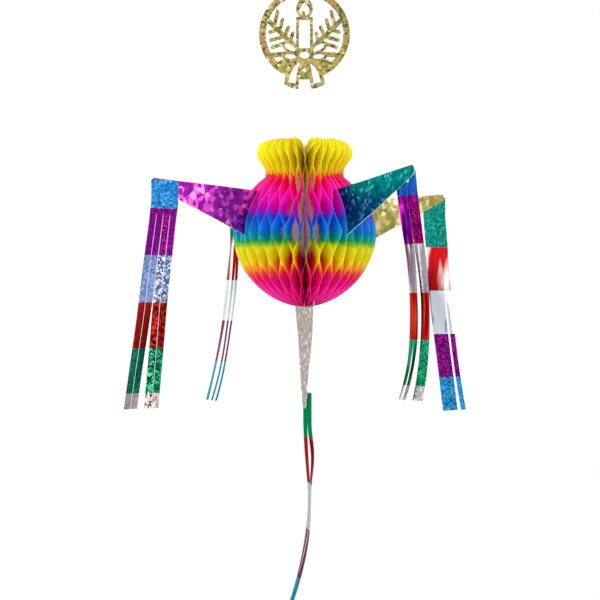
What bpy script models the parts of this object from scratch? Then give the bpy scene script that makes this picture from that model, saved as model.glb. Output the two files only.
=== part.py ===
"""Hanging paper pinata: two honeycomb tissue pads, five foil card points with cut film
fringes, and a die-cut foil medallion that carries it all on a loop of nylon thread.

The origin is the top of the medallion's ring, where the pinata hangs. +Z is up and -Y is the front.
An azimuth is measured about the Z axis from the front, positive towards +X. Units are metres.
"""

import math
from typing import NamedTuple

import bmesh
import bpy
from mathutils import Matrix, Vector
from mathutils.geometry import delaunay_2d_cdt

# Overall layout, heights below the top of the medallion's ring
BALL_DROP = 0.259
KNOT_GAP = 0.0003

# Honeycomb ball: half-profile of the die-cut tissue sheets
BALL_RADIUS = 0.075
BALL_HALF_HEIGHT = 0.0752
BALL_ROUNDNESS = 1.85
NECK_RADIUS = 0.041
NECK_RISE = 0.066
COLLAR_RADIUS = 0.0504
COLLAR_BULGE_RISE = 0.0855
COLLAR_TOP_RISE = 0.0995
COLLAR_RIM_WIDTH = 0.0145
MOUTH_RIM_WIDTH = 0.008
MOUTH_RIM_DEPTH = 0.0085
PROFILE_END_WIDTH = 0.003

# Honeycomb sheets, the glue rows that join them, and the core that binds their inner edges
SHEET_COUNT = 64
SHEET_WALL = 0.0004
SHEET_INNER_RADIUS = 0.009
ROW_PITCH = 0.025
SEAM_TURN_DEG = 1.3
GLUE_STRIP = 0.006
SEAM_GAP = 0.0003
CORE_GAP = 0.0004
CORE_TOP_RISE = 0.0815

# Backing cards at the rear seam, and the tape that closes them
COVER_THICKNESS = 0.00035
COVER_INSET = 0.0004
COVER_GAP = 0.0001
COVER_SHEET_GAP = 0.0002
TAPE_THICKNESS = 0.0002
TAPE_WIDTH = 0.012
TAPE_LENGTH = 0.1
TAPE_RADIUS = 0.034

# Foil card points, pushed in between two sheets
POINT_TIP_RADIUS = 0.186
POINT_BASE_RADIUS = 0.058
POINT_HALF_WIDTH = 0.0229
POINT_TIP_HALF_WIDTH = 0.0035
POINT_THICKNESS = 0.0005
POINT_GAP = 0.0003
TAIL_TAB_DEPTH = 0.014
TAIL_LIFT = 0.005

# Film fringes, glued to one face of each point's tip
FILM_WIDTH = 0.03
FILM_THICKNESS = 0.0003
FILM_STAND_OFF = 0.0001
GLUE_PAD_THICKNESS = 0.0002
GLUE_PAD_MARGIN = 0.003
GLUE_PAD_HEIGHT = 0.007
HEADER_DEPTH = 0.0215
HINGE_GAP = 0.0004
UNCUT_BAND = 0.009
STRAND_COUNT = 4
STRAND_SLIT = 0.0006
STRAND_STEPS = 8
SWIVEL_SHARE = 0.4

# Medallion
RING_RADIUS = 0.0477
RING_BAND = 0.0069
MEDALLION_THICKNESS = 0.0008
STROKE = 0.003
NEEDLE = 0.0038
STEM = 0.005
THREAD_HOLE_DROP = 0.0855
THREAD_HOLE_RADIUS = 0.002

# Nylon thread
THREAD_DIAMETER = 0.0004
THREAD_CARD_GAP = 0.0004
THREAD_HOLE_GAP = 0.0003
THREAD_STEPS = 12
KNOT_RADIUS = 0.0017

PITCH = 2 * math.pi / SHEET_COUNT
BALL_CENTRE = Vector((0, 0, -BALL_DROP))

class Hang(NamedTuple):
    """How a fringe hangs below its header."""

    length: float  # whole film, with its header
    shift: float  # film's place on the card, towards the tip
    lean: float  # its foot's place further along the card's plane than its header
    drift: float  # its foot's place out of that plane
    bow: float  # its middle's place out of that plane
    spreads: tuple  # each strand's foot along the plane, innermost first
    curls: tuple  # each strand's foot out of the plane
    swivel_deg: float = 0.0  # the film's turn about its own middle below its header


class Point(NamedTuple):
    """A card point: its slot, counted in sheets round from the front seam, its tilt, foil and fringe."""

    slot: int
    pitch_deg: float
    rise: float  # where its axis crosses the ball's, above the ball's centre
    foil: str
    hang: Hang


POINTS = {
    "teal": Point(6, 17.0, -0.0008, "foil_teal", Hang(
        0.220, 0.005, 0.008, 0.002, 0.013, (0.004, 0.002, 0.0, 0.001), (-0.008, -0.006, 0.0, 0.001))),
    "gold": Point(21, 15.9, -0.0043, "foil_gold", Hang(
        0.2385, 0.0, 0.0245, 0.002, 0.003, (-0.003, -0.003, -0.003, 0.005), (0.0, 0.0, 0.0, 0.004))),
    "back": Point(37, 14.5, 0.004, "foil_red", Hang(
        0.237, 0.0, 0.030, 0.0175, 0.0, (-0.002, -0.001, 0.001, 0.002), (0.003, -0.001, -0.002, 0.0))),
    "violet": Point(54, 13.0, 0.0052, "foil_violet", Hang(
        0.221, 0.0, 0.028, 0.002, 0.0, (-0.003, -0.003, 0.003, 0.003), (0.003, 0.003, 0.0, 0.0))),
}
TAIL_SLOT = 4
TAIL_HANG = Hang(
    0.231, 0.009, 0.0, -0.024, 0.004, (-0.001, 0.0, 0.0, 0.001), (0.001, 0.0, 0.0, -0.001), -14.0)


def clear_scene():
    """Remove every object, so that only the pinata is left."""
    for old in list(bpy.data.objects):
        bpy.data.objects.remove(old)


def collection_named(name):
    made = bpy.data.collections.new(name)
    bpy.context.scene.collection.children.link(made)
    return made


def material_named(name, colour, roughness, metallic=0.0):
    made = bpy.data.materials.new(name)
    made.use_nodes = True
    shader = made.node_tree.nodes["Principled BSDF"]
    shader.inputs["Base Color"].default_value = (*colour, 1.0)
    shader.inputs["Roughness"].default_value = roughness
    shader.inputs["Metallic"].default_value = metallic
    return made


def make_materials():
    """Tissue, card, film and thread as they look in even light."""
    return {
        "tissue": material_named("tissue", (0.85, 0.05, 0.35), 0.8),
        "white_card": material_named("white_card", (0.85, 0.84, 0.80), 0.7),
        "tape": material_named("tape", (0.80, 0.80, 0.78), 0.4),
        "foil_teal": material_named("foil_teal", (0.01, 0.30, 0.30), 0.25, 0.9),
        "foil_gold": material_named("foil_gold", (0.55, 0.45, 0.15), 0.25, 0.9),
        "foil_red": material_named("foil_red", (0.45, 0.03, 0.05), 0.25, 0.9),
        "foil_violet": material_named("foil_violet", (0.35, 0.03, 0.40), 0.25, 0.9),
        "foil_silver": material_named("foil_silver", (0.60, 0.60, 0.58), 0.25, 0.9),
        "film": material_named("film", (0.45, 0.48, 0.60), 0.2, 0.9),
        "nylon": material_named("nylon", (0.85, 0.87, 0.88), 0.15),
    }


def add_object(collection, name, data, material):
    made = bpy.data.objects.new(name, data)
    data.materials.append(material)
    collection.objects.link(made)
    return made


def mesh_object(collection, name, mesh_data, material):
    """A named object from a bmesh, which is freed."""
    mesh = bpy.data.meshes.new(name)
    mesh_data.to_mesh(mesh)
    mesh_data.free()
    return add_object(collection, name, mesh, material)


def solidify(made, thickness, offset=0.0, mode="EXTRUDE"):
    """Give an open surface its thickness, split evenly about it unless offset says otherwise."""
    shell = made.modifiers.new("Solidify", "SOLIDIFY")
    shell.thickness = thickness
    shell.offset = offset
    shell.solidify_mode = mode
    if mode == "NON_MANIFOLD":
        shell.nonmanifold_thickness_mode = "FIXED"
        shell.nonmanifold_boundary_mode = "NONE"


def outward(azimuth):
    return Vector((math.sin(azimuth), -math.cos(azimuth), 0))


def sideways(azimuth):
    return Vector((math.cos(azimuth), math.sin(azimuth), 0))


def flat_plate(collection, name, outline, thickness, frame, material, centre_offset=0.0):
    """A plate cut to an outline of (u, v) points, in the plane of frame's X and Y axes."""
    curve = bpy.data.curves.new(name, "CURVE")
    curve.dimensions = "2D"
    curve.fill_mode = "BOTH"
    curve.extrude = thickness / 2
    spline = curve.splines.new("POLY")
    spline.points.add(len(outline) - 1)
    for point, (u, v) in zip(spline.points, outline):
        point.co = (u, v, 0, 1)
    spline.use_cyclic_u = True
    made = add_object(collection, name, curve, material)
    made.matrix_world = frame @ Matrix.Translation((0, 0, centre_offset))
    return made


# The sheets' half-profile


def ball_radius_at(rise):
    """Radius of the ball's rounded profile at a height above its centre."""
    share = 1 - min(1.0, abs(rise) / BALL_HALF_HEIGHT) ** BALL_ROUNDNESS
    return BALL_RADIUS * share ** (1 / BALL_ROUNDNESS)


def collar_radius_at(rise):
    """Radius of the flared collar: an S-curve up to its bulge, then a rounded rim."""
    if rise <= COLLAR_BULGE_RISE:
        climb = max(0.0, rise - NECK_RISE) / (COLLAR_BULGE_RISE - NECK_RISE)
        return NECK_RADIUS + (COLLAR_RADIUS - NECK_RADIUS) * (1 - math.cos(math.pi * climb)) / 2
    climb = min(1.0, (rise - COLLAR_BULGE_RISE) / (COLLAR_TOP_RISE - COLLAR_BULGE_RISE))
    return COLLAR_RADIUS - COLLAR_RIM_WIDTH * (1 - math.sqrt(1 - climb * climb))


def outer_radius_at(rise):
    if rise < NECK_RISE / 2:
        return ball_radius_at(rise)
    return max(ball_radius_at(rise), collar_radius_at(rise))


def inner_radius_at(rise):
    """The sheets start at the core, and round off into the mouth at the top."""
    drop = COLLAR_TOP_RISE - rise
    if drop >= MOUTH_RIM_DEPTH:
        return SHEET_INNER_RADIUS
    climb = 1 - max(0.0, drop) / MOUTH_RIM_DEPTH
    return SHEET_INNER_RADIUS + MOUTH_RIM_WIDTH * (1 - math.sqrt(1 - climb * climb))


def profile_foot():
    """Height at which the ball's profile has closed in to just outside the sheets' inner edge."""
    wanted = (SHEET_INNER_RADIUS + PROFILE_END_WIDTH) / BALL_RADIUS
    return -BALL_HALF_HEIGHT * (1 - wanted**BALL_ROUNDNESS) ** (1 / BALL_ROUNDNESS)


# The glue rows


def first_row():
    """Number of whole row pitches between the ball's centre and the highest glue row."""
    return int((COLLAR_BULGE_RISE - GLUE_STRIP / 2) / ROW_PITCH)


def row_rise(row):
    """Height of a glue row above the ball's centre; row 0 is the highest."""
    return (first_row() - row) * ROW_PITCH


def row_at(rise):
    """The glue row whose strip holds this height, or None between the strips."""
    row = round(first_row() - rise / ROW_PITCH)
    inside = abs(row_rise(row) - rise) <= GLUE_STRIP / 2 + 1e-6
    return row if row >= 0 and inside else None


def sheet_levels():
    """Heights, top to bottom, at which the sheets get an edge from the core to the rim."""
    foot = profile_foot()
    rim = COLLAR_TOP_RISE - COLLAR_BULGE_RISE
    levels = [COLLAR_BULGE_RISE + rim * math.sin(math.radians(turn)) for turn in (90, 65, 35, 0)]
    row = 0
    while row_rise(row) + GLUE_STRIP / 2 > foot:
        levels += [row_rise(row) + GLUE_STRIP / 2, max(foot, row_rise(row) - GLUE_STRIP / 2)]
        row += 1
    levels += [NECK_RISE, foot]
    last_open = row_rise(row - 2) - GLUE_STRIP / 2
    levels += [last_open + (foot - last_open) * share for share in (0.4, 0.72)]
    levels = sorted({round(level, 6) for level in levels}, reverse=True)
    return [level for level in levels if level >= foot - 1e-6]


def slot_azimuth(slot):
    """Azimuth of a slot, which is counted in sheets round from the front seam."""
    return math.radians(SEAM_TURN_DEG) + slot * PITCH


def glued_edge(sheet, row):
    """The slot that a sheet is glued at in a row."""
    return sheet + (sheet + row) % 2


def slot_clearances():
    """Half the gap that each slot between two sheets keeps open, and over which heights."""
    everywhere = (-math.inf, math.inf)
    card = POINT_THICKNESS / 2 + POINT_GAP + SHEET_WALL / 2
    rear = TAPE_THICKNESS / 2 + COVER_GAP + COVER_THICKNESS + COVER_SHEET_GAP + SHEET_WALL / 2
    half = SHEET_COUNT // 2
    clearances = {
        0: (SEAM_GAP / 2 + SHEET_WALL / 2, everywhere),
        SHEET_COUNT: (SEAM_GAP / 2 + SHEET_WALL / 2, everywhere),
        half: (rear, everywhere),
    }
    reach = point_half_width_at(POINT_BASE_RADIUS) + GLUE_STRIP
    for point in POINTS.values():
        pitch = math.radians(point.pitch_deg)
        low = point.rise + POINT_BASE_RADIUS * math.sin(pitch) - reach
        high = point.rise + BALL_RADIUS * math.tan(pitch) + reach
        clearances[point.slot] = (card, (low, high))
    tail_top = -BALL_HALF_HEIGHT + TAIL_TAB_DEPTH + GLUE_STRIP / 2
    for slot in (TAIL_SLOT, TAIL_SLOT + half):
        clearances[slot] = (card, (-math.inf, tail_top))
    return clearances


def slot_gap(slot, rise, clearances):
    gap, (low, high) = clearances.get(slot, (0.0, (0, 0)))
    return gap if low <= rise <= high else 0.0


def sheet_place(sheet, rise, clearances):
    """(azimuth, sideways shift, slot it is glued at or None) of a sheet at a height."""

    def at_row(row):
        slot = glued_edge(sheet, row)
        gap = slot_gap(slot, row_rise(row), clearances)
        return slot_azimuth(slot), gap if slot == sheet else -gap, slot

    row = row_at(rise)
    if row is not None:
        azimuth, shift, slot = at_row(row)
        return azimuth, shift, None if shift else slot
    row = math.floor(first_row() - rise / ROW_PITCH)
    open_height = ROW_PITCH - GLUE_STRIP
    if row < 0:
        share = min(1.0, (rise - row_rise(0) - GLUE_STRIP / 2) / open_height)
        start, start_shift, _ = at_row(0)
        return start + (slot_azimuth(sheet + 0.5) - start) * share, start_shift, None
    share = (row_rise(row) - GLUE_STRIP / 2 - rise) / open_height
    (start, start_shift, _), (end, end_shift, _) = at_row(row), at_row(row + 1)
    return start + (end - start) * share, start_shift + (end_shift - start_shift) * share, None


def make_honeycomb(collection, name, sheets, material):
    """One half-round pad: its sheets zigzag from slot to slot and share their glue strips."""
    clearances = slot_clearances()
    levels = sheet_levels()
    pad = bmesh.new()
    rungs = {}

    def rung(sheet, index):
        """The sheet's edge at one level, from the core out; glued sheets share it."""
        rise = levels[index]
        azimuth, shift, slot = sheet_place(sheet, rise, clearances)
        key = ("slot", slot, index) if slot is not None else ("sheet", sheet, index)
        if key not in rungs:
            base = BALL_CENTRE + Vector((0, 0, rise)) + sideways(azimuth) * shift
            rungs[key] = [
                pad.verts.new(base + outward(azimuth) * radius)
                for radius in (inner_radius_at(rise), outer_radius_at(rise))
            ]
        return rungs[key]

    for sheet in sheets:
        for index in range(len(levels) - 1):
            upper, lower = rung(sheet, index), rung(sheet, index + 1)
            corners = (upper[0], upper[1], lower[1], lower[0])
            if not pad.faces.get(corners):
                pad.faces.new(corners)
    made = mesh_object(collection, name, pad, material)
    solidify(made, SHEET_WALL, mode="NON_MANIFOLD")
    return made


def make_core(collection, material):
    """The bound inner edges of the sheets: a turned core, rounded at both ends."""
    radius = SHEET_INNER_RADIUS - CORE_GAP
    top = CORE_TOP_RISE
    foot = -BALL_HALF_HEIGHT + TAIL_TAB_DEPTH + 2 * POINT_GAP + GLUE_STRIP / 2
    core = bmesh.new()
    bmesh.ops.create_cone(
        core, cap_ends=True, segments=24, radius1=radius, radius2=radius, depth=top - foot,
        matrix=Matrix.Translation(BALL_CENTRE + Vector((0, 0, (top + foot) / 2))),
    )
    made = mesh_object(collection, "spine_binding", core, material)
    rounding = made.modifiers.new("Bevel", "BEVEL")
    rounding.width = radius / 5
    rounding.segments = 2
    rounding.limit_method = "ANGLE"
    made.data.shade_smooth()
    made.data.set_sharp_from_angle(angle=math.radians(40))
    return made


# The rear seam


def rear_frame():
    """A frame in the rear seam's plane: X is outwards from the axis, Y is up."""
    turn = Matrix.Rotation(slot_azimuth(0), 4, "Z")
    return Matrix.Translation(BALL_CENTRE) @ turn @ Matrix(
        ((0, 0, 1, 0), (1, 0, 0, 0), (0, 1, 0, 0), (0, 0, 0, 1))
    )


def make_covers(collection, materials):
    """Two stiff half-profile backing cards, and the tape that holds them together."""
    levels = sheet_levels()
    rim = [(outer_radius_at(rise) - COVER_INSET, rise) for rise in levels]
    edge = [(inner_radius_at(rise) + COVER_INSET, rise) for rise in reversed(levels)]
    stand_off = TAPE_THICKNESS / 2 + COVER_GAP + COVER_THICKNESS / 2
    for name, side in (("cover_card_right", 1), ("cover_card_left", -1)):
        flat_plate(
            collection, name, rim + edge, COVER_THICKNESS, rear_frame(),
            materials["white_card"], side * stand_off,
        )
    inner, outer = TAPE_RADIUS, TAPE_RADIUS + TAPE_WIDTH
    half = TAPE_LENGTH / 2
    flat_plate(
        collection, "closure_tape", [(inner, -half), (outer, -half), (outer, half), (inner, half)],
        TAPE_THICKNESS, rear_frame(), materials["tape"],
    )


# Points and fringes


def point_half_width_at(radius):
    """Half the card's width across its axis at a distance from the ball's centre."""
    taper = (POINT_HALF_WIDTH - POINT_TIP_HALF_WIDTH) / (POINT_TIP_RADIUS - BALL_RADIUS)
    return POINT_TIP_HALF_WIDTH + taper * (POINT_TIP_RADIUS - radius)


def point_outline(base_radius):
    """A long triangle with a rounded tip, along X from the ball's centre."""
    base = point_half_width_at(base_radius)
    tip_centre = POINT_TIP_RADIUS - POINT_TIP_HALF_WIDTH
    half = point_half_width_at(tip_centre)
    turns = [math.radians(turn) for turn in (-90, -45, 0, 45, 90)]
    tip = [(tip_centre + half * math.cos(turn), half * math.sin(turn)) for turn in turns]
    return [(base_radius, base), (base_radius, -base)] + tip


def point_frame(azimuth, pitch, centre):
    """X runs along the card from the ball's centre, Y down across it, Z out of its fringe face."""
    along = outward(azimuth) * math.cos(pitch) + Vector((0, 0, math.sin(pitch)))
    face = sideways(azimuth)
    turn = Matrix((along, face.cross(along), face)).transposed().to_4x4()
    return Matrix.Translation(centre) @ turn


def film_stack():
    """Heights above the card's middle plane of the glue pad's and the film's middles."""
    pad = POINT_THICKNESS / 2 + FILM_STAND_OFF + GLUE_PAD_THICKNESS / 2
    film = pad + GLUE_PAD_THICKNESS / 2 + FILM_STAND_OFF + FILM_THICKNESS / 2
    return pad, film


def fringe_frame(azimuth, top):
    """X outwards, Y down and Z out of the card's fringe face, from the film's upper inner corner."""
    turn = Matrix((outward(azimuth), Vector((0, 0, -1)), sideways(azimuth))).transposed().to_4x4()
    return Matrix.Translation(top) @ turn


def make_fringe(collection, name, frame, hang, pad_corner, materials):
    """Glue pad, glued header and hanging strands of one fringe, below the frame's origin."""
    pad_height, film_height = film_stack()
    pad_low, pad_high = pad_corner
    flat_plate(
        collection, f"glue_pad_{name}",
        [pad_low, (pad_high[0], pad_low[1]), pad_high, (pad_low[0], pad_high[1])],
        GLUE_PAD_THICKNESS, frame, materials["tape"], pad_height,
    )
    flat_plate(
        collection, f"fringe_header_{name}",
        [(0, 0), (FILM_WIDTH, 0), (FILM_WIDTH, HEADER_DEPTH), (0, HEADER_DEPTH)],
        FILM_THICKNESS, frame, materials["film"], film_height,
    )
    make_strands(collection, f"fringe_strands_{name}", frame, hang, film_height, materials["film"])


def make_strands(collection, name, frame, hang, film_height, material):
    """The free film below the header: a short uncut band, then strands that hang and curl."""
    width = (FILM_WIDTH - (STRAND_COUNT - 1) * STRAND_SLIT) / STRAND_COUNT
    start = HEADER_DEPTH + HINGE_GAP
    free = hang.length - start
    drops = [0.0, UNCUT_BAND]
    drops += [UNCUT_BAND + (free - UNCUT_BAND) * step / STRAND_STEPS for step in range(1, STRAND_STEPS + 1)]
    film = bmesh.new()
    columns = []
    for strand in range(STRAND_COUNT):
        for edge in (0, width):
            across = strand * (width + STRAND_SLIT) + edge
            column = []
            for drop in drops:
                share = drop / free
                loose = max(0.0, drop - UNCUT_BAND) / (free - UNCUT_BAND)
                turn = math.radians(hang.swivel_deg) * min(1.0, loose / SWIVEL_SHARE)
                arm = across - FILM_WIDTH / 2
                out = FILM_WIDTH / 2 + arm * math.cos(turn)
                out += hang.lean * share + hang.spreads[strand] * loose**2
                away = film_height + hang.drift * share**2 + hang.curls[strand] * loose**2
                away += arm * math.sin(turn)
                away += hang.bow * math.sin(math.pi * share) ** 2
                column.append(film.verts.new(frame @ Vector((out, start + drop, away))))
            columns.append(column)
    for index, (left, right) in enumerate(zip(columns, columns[1:])):
        rows = 1 if index % 2 else len(drops) - 1
        for row in range(rows):
            film.faces.new((left[row], left[row + 1], right[row + 1], right[row]))
    made = mesh_object(collection, name, film, material)
    solidify(made, FILM_THICKNESS)
    return made


def make_side_point(collection, name, point, materials):
    """A card point in a vertical plane through the axis, tilted up, with its fringe."""
    azimuth, pitch = slot_azimuth(point.slot), math.radians(point.pitch_deg)
    centre = BALL_CENTRE + Vector((0, 0, point.rise))
    card_frame = point_frame(azimuth, pitch, centre)
    flat_plate(
        collection, f"point_{name}", point_outline(POINT_BASE_RADIUS), POINT_THICKNESS,
        card_frame, materials[point.foil],
    )
    film_root = POINT_TIP_RADIUS - FILM_WIDTH
    top = centre + outward(azimuth) * (film_root * math.cos(pitch) + point.hang.shift)
    top.z = (card_frame @ Vector((film_root, -point_half_width_at(film_root), 0))).z
    pad_corner = (
        (GLUE_PAD_MARGIN, GLUE_PAD_MARGIN),
        (FILM_WIDTH / 2, GLUE_PAD_MARGIN + GLUE_PAD_HEIGHT),
    )
    make_fringe(collection, name, fringe_frame(azimuth, top), point.hang, pad_corner, materials)


def make_tail_point(collection, materials):
    """The point that hangs straight down from the ball, in a plane through the axis."""
    azimuth = slot_azimuth(TAIL_SLOT)
    card_frame = point_frame(azimuth, -math.pi / 2, BALL_CENTRE + Vector((0, 0, TAIL_LIFT)))
    base_radius = BALL_HALF_HEIGHT + TAIL_LIFT - TAIL_TAB_DEPTH
    flat_plate(
        collection, "point_tail", point_outline(base_radius), POINT_THICKNESS,
        card_frame, materials["foil_silver"],
    )
    card_middle = FILM_WIDTH / 2 - TAIL_HANG.shift
    top = BALL_CENTRE - outward(azimuth) * card_middle
    top.z -= POINT_TIP_RADIUS - HEADER_DEPTH
    pad_corner = (
        (card_middle - POINT_TIP_HALF_WIDTH, GLUE_PAD_MARGIN),
        (card_middle + POINT_TIP_HALF_WIDTH, GLUE_PAD_MARGIN + GLUE_PAD_HEIGHT),
    )
    make_fringe(collection, "tail", fringe_frame(azimuth, top), TAIL_HANG, pad_corner, materials)


# Medallion


def disc(centre, radius, steps=48):
    turns = [2 * math.pi * step / steps for step in range(steps)]
    return [(centre[0] + radius * math.cos(t), centre[1] + radius * math.sin(t)) for t in turns]


def oval(centre, half_width, half_height, tilt=0.0, steps=20):
    points = []
    for step in range(steps):
        turn = 2 * math.pi * step / steps
        x, z = half_width * math.cos(turn), half_height * math.sin(turn)
        points.append((
            centre[0] + x * math.cos(tilt) - z * math.sin(tilt),
            centre[1] + x * math.sin(tilt) + z * math.cos(tilt),
        ))
    return points


def bar(start, end, width):
    """A straight stroke with round ends."""
    heading = math.atan2(end[1] - start[1], end[0] - start[0])
    points = []
    for centre, turn in ((end, heading), (start, heading + math.pi)):
        for step in (-90, -45, 0, 45, 90):
            angle = turn + math.radians(step)
            points.append((
                centre[0] + width / 2 * math.cos(angle), centre[1] + width / 2 * math.sin(angle),
            ))
    return points


def flame(foot, half_width, height, steps=20):
    """A drop shape: round below and drawn to a point above."""
    points = []
    for step in range(steps):
        turn = 2 * math.pi * step / steps
        lift = (1 - math.cos(turn)) / 2
        points.append((half_width * math.sin(turn) * (1 - 0.75 * lift**2) * 1.15, foot + height * lift))
    return points


def mirrored(outlines):
    return outlines + [[(-x, z) for x, z in outline] for outline in outlines]


def counterclockwise(outline):
    turned = outline[1:] + outline[:1]
    area = sum(x0 * z1 - x1 * z0 for (x0, z0), (x1, z1) in zip(outline, turned))
    return outline if area > 0 else outline[::-1]


def sprig():
    """A fir sprig to the right of the candle: a stem out to the ring, needles, and a bar below them."""
    needles = (
        ((0.0318, 0.0085), (0.0282, 0.0235)), ((0.0264, 0.0035), (0.0230, 0.0148)),
        ((0.0210, -0.0018), (0.0168, 0.0072)), ((0.0150, -0.0078), (0.0122, 0.0008)),
        ((0.0298, 0.0040), (0.0362, 0.0020)), ((0.0225, -0.0030), (0.0352, -0.0064)),
        ((0.0215, -0.0100), (0.0335, -0.0140)),
    )
    strokes = [bar(root, tip, NEEDLE) for root, tip in needles]
    strokes.append(bar((0.0105, -0.0125), (0.0395, 0.0155), STEM))
    strokes.append(bar((0.0190, -0.0210), (0.0390, -0.0225), STEM))
    return strokes


def medallion_outlines():
    """(kept outlines, cut outlines) about the ring's centre: candle, sprigs, bow and ring."""
    inner = RING_RADIUS - RING_BAND
    candle_half, candle_top, candle_foot = 0.0088, 0.0178, -0.018
    flame_foot, flame_height = candle_top - STROKE / 2, inner + STROKE / 2 - candle_top
    knot = (0.0, -0.0222)
    hole = (0.0, RING_RADIUS - THREAD_HOLE_DROP)
    kept = [
        [(-candle_half, candle_foot), (candle_half, candle_foot),
         (candle_half, candle_top), (-candle_half, candle_top)],
        flame(flame_foot, candle_half, flame_height + STROKE),
        oval(knot, 0.0088, 0.0068),
        [(-0.0065, knot[1]), (0.0065, knot[1]), (0.0065, -inner - STROKE), (-0.0065, -inner - STROKE)],
    ]
    cut = [
        [(-candle_half + STROKE, candle_foot + STROKE), (candle_half - STROKE, candle_foot + STROKE),
         (candle_half - STROKE, candle_top - STROKE), (-candle_half + STROKE, candle_top - STROKE)],
        oval(knot, 0.0054, 0.0037),
        disc(hole, THREAD_HOLE_RADIUS, 16),
    ]
    upper, lower = (0.0152, -0.0140), (0.0148, -0.0236)
    loops = [oval(upper, 0.0096, 0.0058, math.radians(30)), oval(lower, 0.0088, 0.0054, math.radians(5))]
    loop_holes = [oval(upper, 0.0066, 0.0029, math.radians(30)), oval(lower, 0.0058, 0.0025, math.radians(5))]
    tail = [(0.003, -0.027), (0.0115, -0.031), (0.0175, -0.039), (0.0205, -0.046),
            (0.0212, -0.053), (0.0145, -0.0562), (0.0068, -0.0577), (0.0055, -0.048), (0.0045, -0.038)]
    tail_hole = [(0.0056, -0.0305), (0.0108, -0.0345), (0.0148, -0.0415), (0.0172, -0.0505),
                 (0.0096, -0.0522), (0.0086, -0.0455), (0.0072, -0.0375)]
    foot = [(0.0055, -0.0262), (0.0235, -0.0268), (0.0305, -0.0310), (0.0260, -0.0380), (0.0150, -0.0400)]
    kept += mirrored(loops + [tail, foot] + sprig())
    cut += mirrored(loop_holes + [tail_hole])
    return kept, cut


def make_medallion(collection, material):
    """A card disc cut through round its picture; every stroke runs into the ring."""
    kept, cut = medallion_outlines()
    flame_hole = flame(0.0190, 0.0054, 0.0142)
    wick = bar((0.0, 0.0165), (-0.0014, 0.0232), STROKE)
    ring = [disc((0, 0), RING_RADIUS), disc((0, 0), RING_RADIUS - RING_BAND)]
    outlines = ring + kept + cut + [flame_hole, wick]
    points, faces = [], []
    for outline in outlines:
        faces.append(list(range(len(points), len(points) + len(outline))))
        points += [Vector(point) for point in counterclockwise(outline)]
    places, _, cells, _, _, owners = delaunay_2d_cdt(points, [], faces, 1, 1e-6)
    first_kept = len(ring)
    first_cut = first_kept + len(kept)
    flame_index = first_cut + len(cut)

    def is_card(owner):
        inside = set(owner)
        if flame_index + 1 in inside:
            return True
        if inside & set(range(first_cut, flame_index + 1)):
            return False
        in_band = 0 in inside and 1 not in inside
        return in_band or bool(inside & set(range(first_kept, first_cut)))

    card = bmesh.new()
    corners = [card.verts.new((x, 0, z)) for x, z in places]
    for cell, owner in zip(cells, owners):
        if is_card(owner):
            card.faces.new([corners[index] for index in cell])
    loose = [vert for vert in card.verts if not vert.link_faces]
    bmesh.ops.delete(card, geom=loose, context="VERTS")
    bmesh.ops.dissolve_limit(
        card, angle_limit=math.radians(1), verts=card.verts, edges=card.edges,
    )
    bmesh.ops.triangulate(card, faces=card.faces)
    made = mesh_object(collection, "medallion", card, material)
    made.location = (0, 0, -RING_RADIUS)
    solidify(made, MEDALLION_THICKNESS)
    return made


# Thread


def thread_route():
    """A loop through the medallion's hole: up its front, over the hole's lower edge, down its back."""
    stand_off = MEDALLION_THICKNESS / 2 + THREAD_CARD_GAP + THREAD_DIAMETER / 2
    crest = thread_pivot()
    foot = knot_centre().z + KNOT_RADIUS + KNOT_GAP
    shoulder = crest - stand_off
    near_knot = KNOT_RADIUS / 3
    front = []
    for step in range(THREAD_STEPS):
        share = step / THREAD_STEPS
        ease = share * share * (3 - 2 * share)
        front.append((0, -near_knot - (stand_off - near_knot) * ease, foot + (shoulder - foot) * share))
    turns = [math.pi * step / 8 for step in range(9)]
    arch = [(0, -stand_off * math.cos(turn), shoulder + stand_off * math.sin(turn)) for turn in turns]
    back = [(x, -y, z) for x, y, z in reversed(front)]
    return front + arch + back


def thread_pivot():
    """Height at which the thread bears on the lower edge of the medallion's hole."""
    return -THREAD_HOLE_DROP - THREAD_HOLE_RADIUS + THREAD_HOLE_GAP + THREAD_DIAMETER / 2


def knot_centre():
    return BALL_CENTRE + Vector((0, 0, CORE_TOP_RISE + KNOT_GAP + KNOT_RADIUS))


def make_thread(collection, material):
    route = thread_route()
    curve = bpy.data.curves.new("hang_thread", "CURVE")
    curve.dimensions = "3D"
    curve.bevel_depth = THREAD_DIAMETER / 2
    curve.bevel_resolution = 2
    curve.use_fill_caps = True
    spline = curve.splines.new("POLY")
    spline.points.add(len(route) - 1)
    for point, place in zip(spline.points, route):
        point.co = (*place, 1)
    made = add_object(collection, "hang_thread", curve, material)
    knot = bmesh.new()
    bmesh.ops.create_uvsphere(
        knot, u_segments=12, v_segments=8, radius=KNOT_RADIUS,
        matrix=Matrix.Translation(knot_centre()),
    )
    tie = mesh_object(collection, "thread_knot", knot, material)
    tie.data.shade_smooth()
    return made


def main():
    clear_scene()
    materials = make_materials()
    pinata = collection_named("paper_pinata")
    half = SHEET_COUNT // 2
    make_medallion(pinata, materials["foil_gold"])
    make_thread(pinata, materials["nylon"])
    make_honeycomb(pinata, "honeycomb_right", range(half), materials["tissue"])
    make_honeycomb(pinata, "honeycomb_left", range(half, SHEET_COUNT), materials["tissue"])
    make_core(pinata, materials["white_card"])
    make_covers(pinata, materials)
    for name, point in POINTS.items():
        make_side_point(pinata, name, point, materials)
    make_tail_point(pinata, materials)


main()
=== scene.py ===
"""Looks of the hanging paper pinata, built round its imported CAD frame.

The frame's origin is the top of the medallion's ring, +Z is up and -Y is the front. An azimuth is
measured about the Z axis from the front, positive towards +X. A rise is a height above the ball's
centre. Lengths are in metres.
"""

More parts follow.
